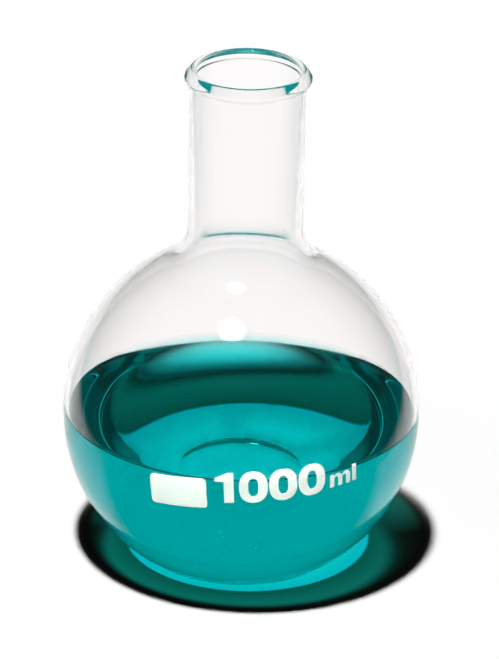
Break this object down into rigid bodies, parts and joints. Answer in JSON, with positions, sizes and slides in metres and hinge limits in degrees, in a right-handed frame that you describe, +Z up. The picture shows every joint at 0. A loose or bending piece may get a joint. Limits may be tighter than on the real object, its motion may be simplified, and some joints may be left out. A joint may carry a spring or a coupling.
{
  "type": "flat-bottom boiling flask",
  "caption": "Glass boiling flask: round bulb on a flat base, straight neck with a beaded lip, half filled with teal liquid, and a white enamel patch on the bulb to write on.",
  "frame": {"origin": "centre of the base ring, on the surface the flask stands on", "axes": "+Z up along the flask's axis to the mouth, -Y towards the printed front, +X to the right of the print as it is read"},
  "size_m": [0.131, 0.131, 0.19],
  "materials": {
    "flask_glass": "polished",
    "liquid": "gloss",
    "writing_panel": "satin"
  },
  "bodies": {
    "flask": {"flask_glass": "flask_glass", "writing_panel": "writing_panel"},
    "liquid": {"liquid": "liquid"}
  },
  "joints": [
    {"name": "liquid_swirl", "type": "hinge", "parent": "flask", "child": "liquid", "pos_m": [0, 0, 0.0555], "axis": [0, 0, 1], "continuous": true}
  ]
}
